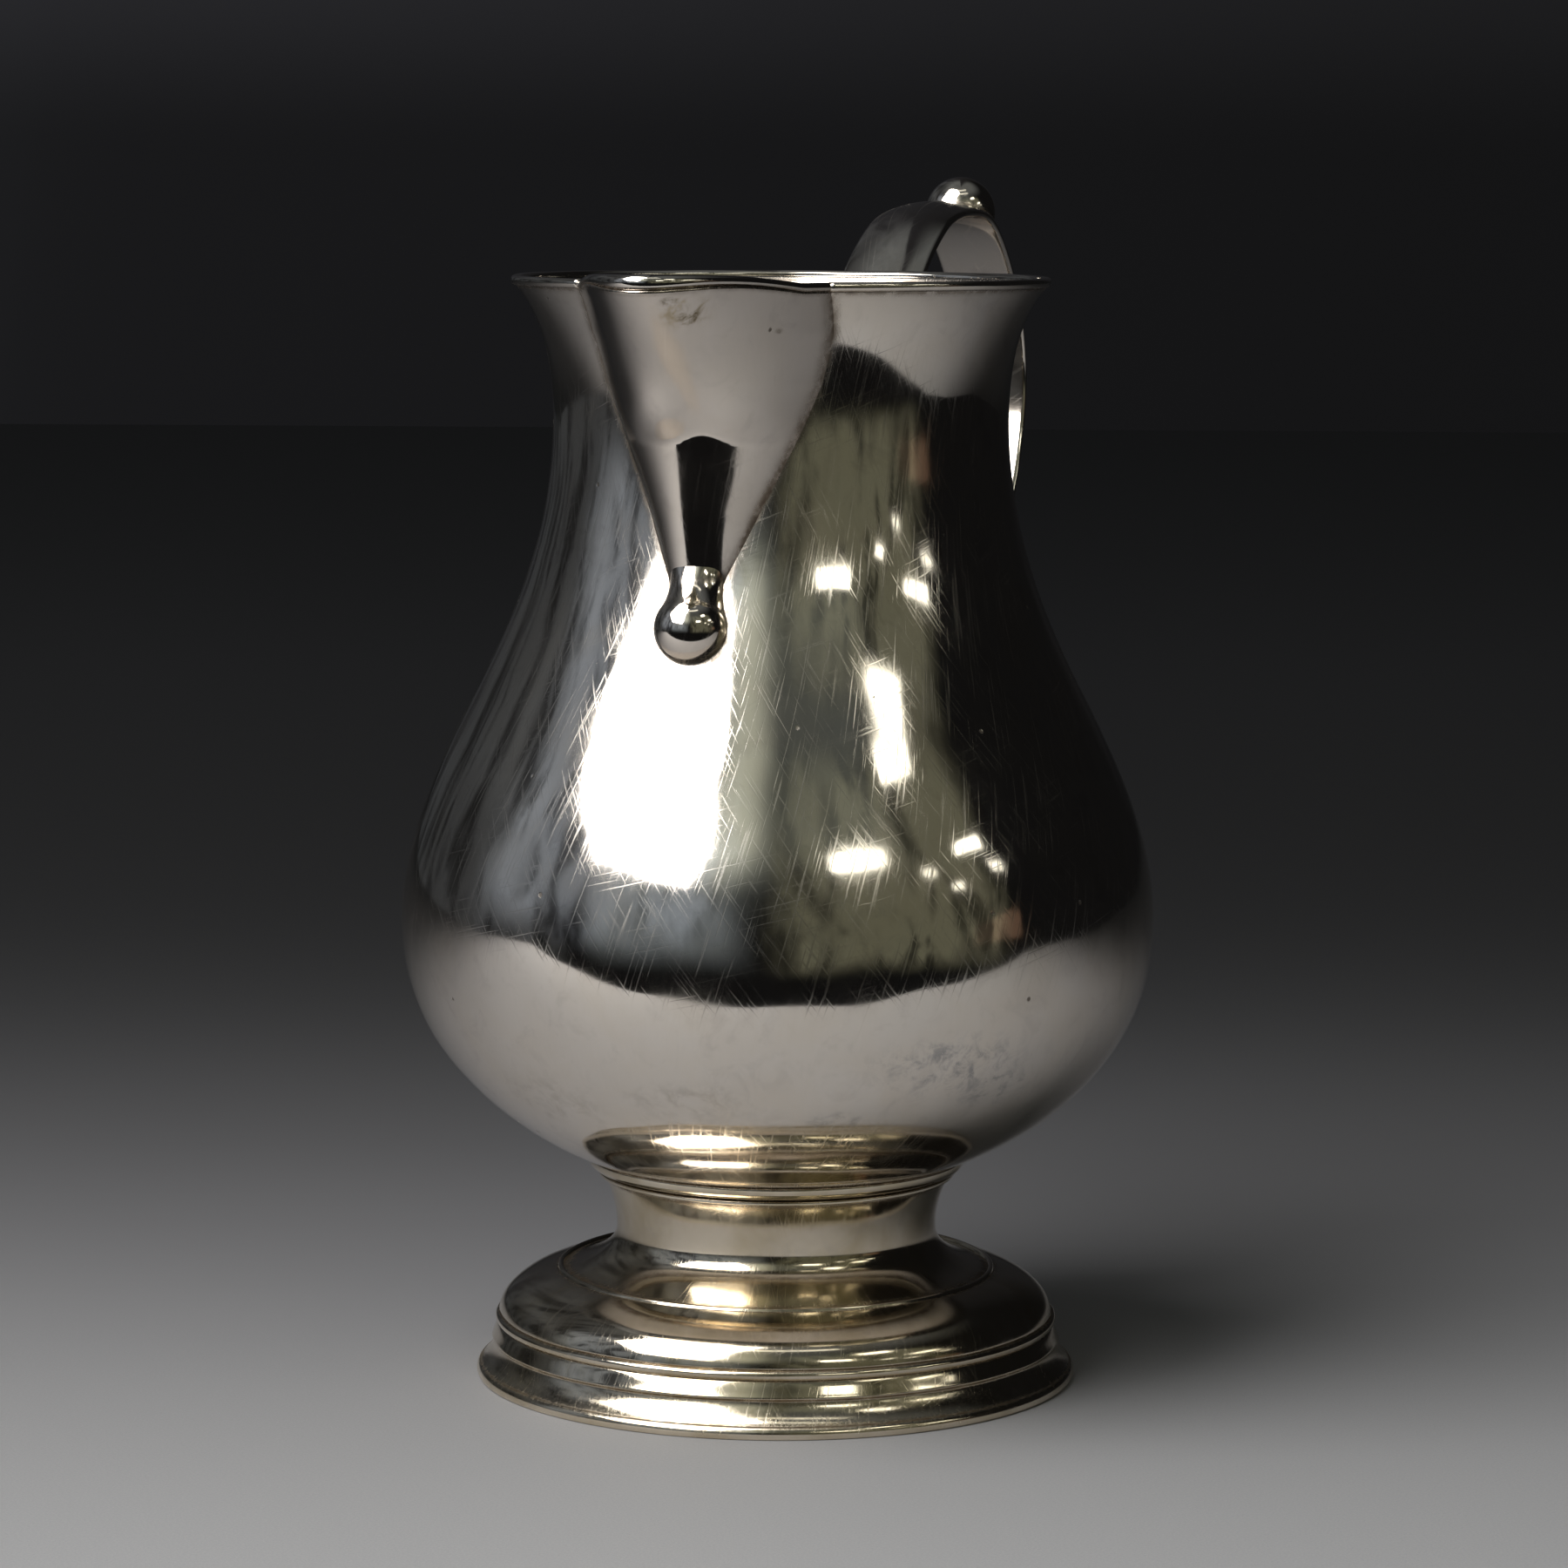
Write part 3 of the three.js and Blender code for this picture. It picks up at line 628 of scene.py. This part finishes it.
def silver(name, polish, scratch, grime, warmth, frost=0.0, bright=BRIGHT, tarnish=TARNISH, stains=()):
    """Old polished silver: hairlines, thin tarnish, stains, grime in the joints and pits.

    Polish is the roughness of the bare metal, and frost roughens the metal near the table.
    """
    material = bpy.data.materials.new(name)
    material.use_nodes = True
    n = Nodes(material.node_tree)
    place = n.add("ShaderNodeTexCoord").outputs["Object"]
    place = n.vector("SUBTRACT", n.vector("SCALE", place, scale=1000.0), tuple(AXIS))
    x, y, z = n.xyz(place)
    turn = n.math("ARCTAN2", x, n.math("MULTIPLY", y, -1.0))
    wrapped = n.combine(n.math("MULTIPLY", turn, 22.0), z, 0.0)

    def total(start, *parts):
        """The start and every value times its weight."""
        for value, weight in parts:
            start = n.math("ADD", start, n.math("MULTIPLY", value, weight))
        return start

    lines = []
    for slant, across, length, cut, offset in HAIRLINES:
        placing = {"Vector": wrapped, "Rotation": (0, 0, slant), "Location": (offset, offset * 0.7, 0)}
        slanted = n.add("ShaderNodeMapping", placing).outputs[0]
        stretched = n.vector("MULTIPLY", slanted, (across, length, 1.0))
        lines.append(n.smooth(n.noise(stretched, 1.0, 2.0, 0.55), cut, cut + 0.11))
    patches = n.smooth(n.noise(place, 0.09, 2.0), 0.35, 0.68)
    hairlines = n.math("MAXIMUM", lines[0], n.math("MULTIPLY", lines[1], 0.8))
    hairlines = n.math("MAXIMUM", hairlines, n.math("MULTIPLY", lines[2], patches))
    satin = n.noise(n.vector("MULTIPLY", wrapped, (4.0, 0.35, 1.0)), 1.0, 3.0, 0.6)

    # pits: a few cells of a fine cell pattern hold one small dark spot
    cells = n.add("ShaderNodeTexVoronoi", {"Vector": place, "Scale": 0.42}, feature="F1")
    chosen = n.math("GREATER_THAN", n.xyz(cells.outputs["Color"])[0], 0.86)
    pit = n.math("MULTIPLY", chosen, n.smooth(cells.outputs["Distance"], 0.11, 0.05))

    # tarnish and grime
    cloud = n.noise(place, 0.16, 4.0, 0.6, 0.4)
    fine = n.noise(place, 2.2, 4.0, 0.65)
    seam = n.add("ShaderNodeAttribute", attribute_name="grime", attribute_type="GEOMETRY").outputs["Fac"]
    dirt = n.math("MULTIPLY", seam, n.smooth(n.noise(place, 0.9, 3.0, 0.6), 0.25, 0.62, 0.35, 1.0))
    dirt = n.math("MULTIPLY", dirt, grime, clamp=True)

    colour = n.mix(n.smooth(cloud, 0.3, 0.75, 0.0, warmth), (*bright, 1), (*tarnish, 1))
    colour = n.mix(n.math("MULTIPLY", satin, 0.12), colour, (0.55, 0.52, 0.48, 1))
    smudge = n.smooth(n.noise(place, 0.34, 4.0, 0.65, 0.8), 0.5, 0.72, 0.0, 0.22)
    colour = n.mix(smudge, colour, (0.5, 0.45, 0.42, 1))
    mottled = n.smooth(n.noise(place, 0.62, 6.0, 0.72, 0.5), 0.43, 0.66)
    stained = 0.0
    for centre, radii, strength, tone in stains:
        off = n.vector("DIVIDE", n.vector("SUBTRACT", place, tuple(centre)), tuple(radii))
        reach = n.smooth(n.vector("LENGTH", off), 1.0, 0.25)
        mask = n.math("MULTIPLY", n.math("MULTIPLY", reach, mottled), strength)
        colour = n.mix(mask, colour, (*tone, 1))
        stained = n.math("MAXIMUM", stained, mask)
    colour = n.mix(n.math("MULTIPLY", dirt, 0.88), colour, (0.11, 0.065, 0.03, 1))
    colour = n.mix(n.math("MULTIPLY", pit, 0.75), colour, (0.12, 0.09, 0.07, 1))

    rough = total(
        polish, (n.smooth(cloud, 0.35, 0.8), 0.05), (hairlines, 0.12 * scratch),
        (n.math("MULTIPLY", satin, patches), 0.10 * scratch), (dirt, 0.3), (stained, 0.2), (pit, 0.3))
    height = total(
        0.0, (hairlines, -0.5 * scratch), (satin, 0.34 * scratch), (fine, 0.16), (pit, -6.0),
        (n.math("MULTIPLY", dirt, fine), 4.0))
    if frost:
        pocked = n.smooth(n.noise(place, 3.4, 5.0, 0.75), 0.36, 0.66)
        worn = n.math("MULTIPLY", pocked, n.smooth(z, 3.0, 2.2))
        rough = total(rough, (worn, frost))
        height = total(height, (worn, -0.45))
    bump = n.add("ShaderNodeBump", {"Height": height, "Strength": 1.0, "Distance": RELIEF}).outputs[0]

    finish = {"Base Color": colour, "Metallic": 1.0, "Roughness": rough, "Normal": bump}
    shader = n.add("ShaderNodeBsdfPrincipled", finish)
    n.add("ShaderNodeOutputMaterial", {"Surface": shader.outputs[0]})
    return material


def around_axis(longitude, radius, height):
    """A point at a longitude measured from the camera's side, positive to its right."""
    a = math.radians(longitude)
    v = (TO_CAMERA * math.cos(a) + TO_RIGHT * math.sin(a)) * radius
    return (v.x, v.y, height)


BLUE_GREY, BROWN, HONEY = (0.27, 0.28, 0.31), (0.15, 0.11, 0.06), (0.52, 0.41, 0.23)
body_stains = [
    (around_axis(6, 30.2, 40), (13, 13, 9), 0.12, BLUE_GREY),
    (around_axis(28, 29.4, 30), (9, 9, 3.4), 0.62, BLUE_GREY),
    (around_axis(38, 28.8, 27.5), (6, 6, 2.4), 0.5, BLUE_GREY),
    (around_axis(10, 26.9, 25.6), (3, 3, 1.1), 0.8, BLUE_GREY),
    (around_axis(-14, 28.6, 27), (7, 7, 2.4), 0.25, BROWN),
    (around_axis(-42, 27.5, 26), (8, 8, 3.0), 0.2, BROWN),
    (around_axis(150, 28.0, 44), (7, 7, 5.0), 0.35, BLUE_GREY),
]
beak_stains = [
    ((2.9, -31.1, 87.9), (3.3, 3.3, 2.0), 0.8, HONEY),
    ((3.1, -30.7, 87.7), (1.3, 1.6, 1.3), 1.0, BROWN),
    ((2.2, -32.8, 88.7), (1.2, 1.0, 0.5), 0.9, BROWN),
    ((7.4, -22.6, 86.3), (0.5, 0.6, 0.4), 0.9, BROWN),
]
FOOT_BRIGHT, FOOT_TARNISH = (0.86, 0.765, 0.62), (0.62, 0.52, 0.35)

MATERIALS = {
    "silver_body": silver("silver_body", 0.045, 1.0, grime=0.9, warmth=0.5, stains=body_stains),
    "silver_spout": silver("silver_spout", 0.055, 0.6, grime=0.95, warmth=0.4,
                           bright=(0.96, 0.875, 0.79), stains=beak_stains),
    "silver_wires": silver("silver_wires", 0.06, 0.5, grime=0.95, warmth=0.7),
    "silver_handle": silver("silver_handle", 0.07, 0.9, grime=0.9, warmth=0.5),
    "silver_foot": silver("silver_foot", 0.07, 0.8, grime=0.9, warmth=0.9, frost=0.09,
                          bright=FOOT_BRIGHT, tarnish=FOOT_TARNISH),
}


# ---- assembly ------------------------------------------------------------------------------
made = {
    "body_shell": (body_shell(), "silver_body", "silver_polished"),
    "rim_wire": (rim_wire(), "silver_wires", "silver_polished"),
    "spout_beak": (spout_beak(), "silver_spout", "silver_polished"),
    "spout_lip_wire": (lip_wire(), "silver_wires", "silver_polished"),
    "spout_drop": (spout_drop(), "silver_spout", "silver_polished"),
    "handle_strap": (handle_strap(), "silver_handle", "silver_polished"),
    "thumb_ball": (thumb_ball(), "silver_wires", "silver_polished"),
    "handle_lower_boss": (lower_boss(), "silver_wires", "silver_polished"),
}
for node, piece in foot().items():
    made[node] = (piece, "silver_foot", "silver_worn")
for node, (piece, material, slot) in made.items():
    piece.data.materials.append(MATERIALS[material])
    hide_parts(node)
    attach(piece, "root")


# ---- stage ---------------------------------------------------------------------------------
def stage_point(behind, right, up=0.0):
    """A point by its distance behind the jug's axis and to the right, seen from the camera, in mm."""
    axis = Vector(tuple(AXIS * MM))
    return axis + (TO_CAMERA * -behind + TO_RIGHT * right + Vector((0, 0, up))) * MM


# the board, in mm behind and right of the jug: corners, thickness and where its painted shade starts and
# ends
BOARD_CORNERS = [(-116, -520), (-116, 520), (1500, 1000), (1500, -1000)]
BOARD_THICKNESS = 18
PAINTED_SHADE_START, PAINTED_SHADE_LENGTH = -120.0, 720.0
# painted shade: the board's grey level at points along its depth, darker further behind the jug
BOARD_PAINTED_SHADE_LEVELS = [(0.2, 0.166), (0.30, 0.078), (0.42, 0.0183), (0.55, 0.0062), (0.75, 0.0065)]


def table_top():
    """A pale board whose near edge is a little in front of the jug, with painted shade darkening it behind
    the jug.
    """
    top = [stage_point(b, r) for b, r in BOARD_CORNERS]
    under = [stage_point(b, r, -BOARD_THICKNESS) for b, r in BOARD_CORNERS]
    faces = [(0, 1, 2, 3), (7, 6, 5, 4), (0, 4, 5, 1), (1, 5, 6, 2), (2, 6, 7, 3), (3, 7, 4, 0)]
    mesh = bpy.data.meshes.new("table_top")
    mesh.from_pydata([tuple(p) for p in top + under], [], faces)
    board = bpy.data.objects.new("table_top", mesh)
    bpy.context.scene.collection.objects.link(board)
    material = bpy.data.materials.new("pale_board_painted_shade")
    material.use_nodes = True
    n = Nodes(material.node_tree)
    place = n.add("ShaderNodeTexCoord").outputs["Object"]
    off = n.vector("SUBTRACT", n.vector("SCALE", place, scale=1000.0), tuple(AXIS))
    behind = n.vector("DOT_PRODUCT", off, tuple(-TO_CAMERA))
    along = n.math("DIVIDE", n.math("ADD", behind, -PAINTED_SHADE_START), PAINTED_SHADE_LENGTH)
    # painted shade: the board's colour darkens with distance behind the jug, standing in for the light
    # falling off
    shade = n.add("ShaderNodeValToRGB", {0: along})
    ramp = shade.color_ramp
    ramp.interpolation = "B_SPLINE"
    ramp.elements[0].position, ramp.elements[0].color = 0.08, (0.335, 0.337, 0.345, 1)
    ramp.elements[1].position, ramp.elements[1].color = 1.0, (0.011, 0.011, 0.0125, 1)
    for at, level in BOARD_PAINTED_SHADE_LEVELS:
        ramp.elements.new(at).color = (level, level, level * 1.05, 1)
    grain = n.noise(off, 5.0, 4.0, 0.7)
    colour = n.mix(n.smooth(grain, 0.3, 0.7, 0.0, 0.2), shade.outputs[0], (0.12, 0.12, 0.13, 1))
    bump = n.add("ShaderNodeBump", {"Height": grain, "Strength": 0.3, "Distance": 0.00006}).outputs[0]
    finish = {"Base Color": colour, "Roughness": 0.65, "Specular IOR Level": 0.2, "Normal": bump}
    shader = n.add("ShaderNodeBsdfPrincipled", finish)
    n.add("ShaderNodeOutputMaterial", {"Surface": shader.outputs[0]})
    board.data.materials.append(material)


def toward(longitude, latitude, distance):
    """A point in a direction from the jug; longitude is measured from the camera's side."""
    lon, lat = math.radians(longitude), math.radians(latitude)
    flat = TO_CAMERA * math.cos(lon) + TO_RIGHT * math.sin(lon)
    middle = Vector(tuple(AXIS * MM)) + Vector((0, 0, 0.05))
    return middle + (flat * math.cos(lat) + Vector((0, 0, 1)) * math.sin(lat)) * distance


# the softbox: its outline in longitude and latitude, its distance in metres and its strength
SOFTBOX_OUTLINE = [(-60, 21), (-28, 19), (-23, 30), (-22, 48), (-8, 70),
                   (-60, 80), (-104, 66), (-86, 52), (-84, 37)]
SOFTBOX_DISTANCE, SOFTBOX_STRENGTH = 0.75, 7.0


def softbox():
    """One large soft panel to the left front, with its low outer corner masked off."""
    corners = [tuple(toward(lon, lat, SOFTBOX_DISTANCE)) for lon, lat in SOFTBOX_OUTLINE]
    mesh = bpy.data.meshes.new("softbox")
    mesh.from_pydata(corners, [], [tuple(range(len(corners)))])
    panel = bpy.data.objects.new("softbox", mesh)
    bpy.context.scene.collection.objects.link(panel)
    material = bpy.data.materials.new("softbox_light")
    material.use_nodes = True
    n = Nodes(material.node_tree)
    light = n.add("ShaderNodeEmission", {"Color": (1.0, 0.985, 0.96, 1), "Strength": SOFTBOX_STRENGTH})
    n.add("ShaderNodeOutputMaterial", {"Surface": light.outputs[0]})
    panel.data.materials.append(material)


DEGREES = 57.29578  # in a radian
# patches of the room: (longitude, latitude), half sizes, softness, then the colour or the strength
WALLS = [
    ((-118, 8), (44, 20), 12, (0.034, 0.037, 0.040)),
    ((-60, 24), (40, 18), 12, (0.14, 0.16, 0.19)),
    ((-125, 46), (40, 24), 14, (0.034, 0.036, 0.038)),
    ((-15, 44), (9, 20), 8, (0.30, 0.31, 0.25)),
    ((-30, 30), (24, 12), 10, (0.10, 0.115, 0.11)),
    ((4, 40), (34, 12), 9, (0.05, 0.056, 0.05)),
    ((-34, 6), (24, 9), 6, (0.075, 0.088, 0.095)),
    ((36, 19), (34, 22), 7, (0.095, 0.096, 0.066)),
    ((70, 3), (9, 3), 1.2, (0.085, 0.052, 0.034)),
    ((-20, 84), (180, 30), 14, (0.088, 0.095, 0.096)),
]
LAMPS = [
    ((26, 27), (7.5, 2.3), 0.5, 3.6), ((49, 42), (8, 2.6), 0.5, 3.6), ((67, 25), (5.5, 1.7), 0.5, 3.0),
    ((74, 19), (2.4, 0.9), 0.4, 2.2), ((49, 20), (2.4, 1.0), 0.4, 2.4), ((59, 15), (2.0, 0.8), 0.4, 2.0),
    ((8, 62), (34, 1.6), 0.6, 1.3), ((14, 75), (40, 2.0), 0.6, 1.0),
]
PLAIN_WALLS_TO = 34  # degrees to either side; the walls beyond are cluttered


def surroundings():
    """A dim studio: soft grey and olive walls, small ceiling lights, a dark room behind the jug."""
    world = bpy.data.worlds.new("dim_studio")
    bpy.context.scene.world = world
    world.use_nodes = True
    n = Nodes(world.node_tree)
    way = n.add("ShaderNodeTexCoord").outputs["Generated"]
    front = n.vector("DOT_PRODUCT", way, tuple(TO_CAMERA))
    right = n.vector("DOT_PRODUCT", way, tuple(TO_RIGHT))
    up = n.xyz(way)[2]
    lon = n.math("MULTIPLY", n.math("ARCTAN2", right, front), DEGREES)
    lat = n.math("MULTIPLY", n.math("ARCSINE", up), DEGREES)

    def patch(at, size, soft):
        parts = []
        for value, middle, half in ((lon, at[0], size[0]), (lat, at[1], size[1])):
            off = n.math("ABSOLUTE", n.math("SUBTRACT", value, middle))
            parts.append(n.smooth(off, half + soft, half - soft))
        return n.math("MULTIPLY", *parts)

    spread = n.combine(n.math("MULTIPLY", lon, 0.16), n.math("MULTIPLY", lat, 0.05), 0.0)
    clutter = n.smooth(n.noise(spread, 1.0, 4.0, 0.6, 0.6), 0.38, 0.62, 0.2, 1.9)
    colour = n.combine(0.005, 0.005, 0.0052)
    above = n.smooth(lat, 0.0, 2.2, 0.3, 1.0)
    behind = n.math("MULTIPLY", above, n.smooth(n.math("ABSOLUTE", lon), 150.0, 172.0))
    backdrop = n.mix(n.smooth(right, -0.16, 0.16), (0.0205, 0.0205, 0.023, 1), (0.0125, 0.0125, 0.0135, 1))
    colour = n.mix(behind, colour, backdrop)
    for at, size, soft, tone in WALLS:
        lit = n.math("MULTIPLY", patch(at, size, soft), clutter if abs(at[0]) > PLAIN_WALLS_TO else 1.0)
        colour = n.mix(lit, colour, (*tone, 1), "ADD")
    for at, size, soft, power in LAMPS:
        colour = n.mix(patch(at, size, soft), colour, (power, power * 0.99, power * 0.86, 1), "ADD")
    background = n.add("ShaderNodeBackground", {"Color": colour, "Strength": 1.0})
    n.add("ShaderNodeOutputWorld", {"Surface": background.outputs[0]})


FOCAL_LENGTH, SENSOR_WIDTH = 119.32, 36.0
CAMERA_IN_FRONT, CAMERA_RIGHT, CAMERA_HEIGHT = 421.1, 0.45, 99.5
CAMERA_PITCH, CAMERA_ROLL = math.radians(6.88), math.radians(0.32)


def camera():
    """A long lens close to the table, looking slightly down at the jug."""
    data = bpy.data.cameras.new("camera")
    data.lens, data.sensor_width = FOCAL_LENGTH, SENSOR_WIDTH
    data.clip_start, data.clip_end = 0.01, 20.0
    eye = bpy.data.objects.new("camera", data)
    bpy.context.scene.collection.objects.link(eye)
    forward = -TO_CAMERA * math.cos(CAMERA_PITCH) - Vector((0, 0, math.sin(CAMERA_PITCH)))
    up = TO_RIGHT.cross(forward)
    right = TO_RIGHT * math.cos(CAMERA_ROLL) + up * math.sin(CAMERA_ROLL)
    up = up * math.cos(CAMERA_ROLL) - TO_RIGHT * math.sin(CAMERA_ROLL)
    at = stage_point(-CAMERA_IN_FRONT, CAMERA_RIGHT, CAMERA_HEIGHT)
    eye.matrix_world = Matrix((
        (right.x, up.x, -forward.x, at.x),
        (right.y, up.y, -forward.y, at.y),
        (right.z, up.z, -forward.z, at.z),
        (0, 0, 0, 1)))
    bpy.context.scene.camera = eye


table_top()
softbox()
surroundings()
camera()
bpy.context.scene.view_settings.view_transform = "Standard"
